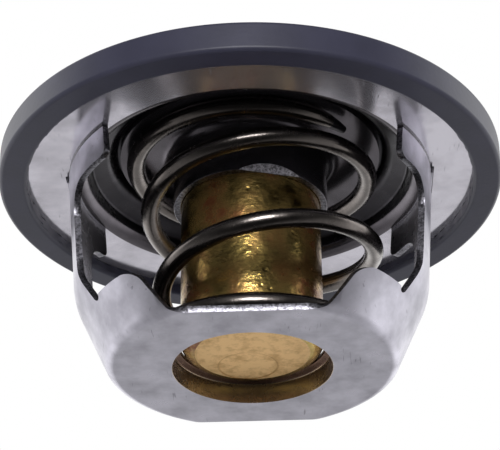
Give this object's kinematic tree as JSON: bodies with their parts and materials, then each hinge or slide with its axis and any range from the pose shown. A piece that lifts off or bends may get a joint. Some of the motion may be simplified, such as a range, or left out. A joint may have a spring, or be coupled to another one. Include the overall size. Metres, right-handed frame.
{
  "type": "engine thermostat",
  "caption": "Wax-element valve for an engine's coolant: a spring-loaded disc on a brass element, held in a steel cage under a round flange with a rubber sealing ring.",
  "frame": {"origin": "centre of the lower cage's flat foot, on the valve's axis", "axes": "+Z along the axis from the element's closed end up to the bridge; +X through the legs of the lower cage"},
  "size_m": [0.054, 0.054, 0.0399],
  "materials": {
    "flange_steel": "satin",
    "cage_steel": "satin",
    "valve_steel": "satin",
    "spring_steel": "satin",
    "piston_steel": "polished",
    "element_brass": "satin",
    "cover_brass": "satin",
    "seal_rubber": "matte",
    "sleeve_rubber": "matte",
    "wax": "waxy, filled with copper powder",
    "washer_plastic": "matte"
  },
  "bodies": {
    "housing": {"flange": "flange_steel", "seal_ring": "seal_rubber", "lower_cage": "cage_steel", "upper_bridge": "cage_steel", "piston": "piston_steel", "main_spring": "spring_steel"},
    "valve_element": {"valve_disc": "valve_steel", "element_cup": "element_brass", "element_cover": "cover_brass", "rubber_sleeve": "sleeve_rubber", "wax_charge": "wax", "backup_washer": "washer_plastic", "wiper_ring": "sleeve_rubber"}
  },
  "joints": [
    {"name": "valve_slide", "type": "slide", "parent": "housing", "child": "valve_element", "axis": [0, 0, -1], "range_m": [0, 0.008], "stiffness_N_per_m": 4700, "springref_m": -0.001, "deforming": ["main_spring"]}
  ]
}
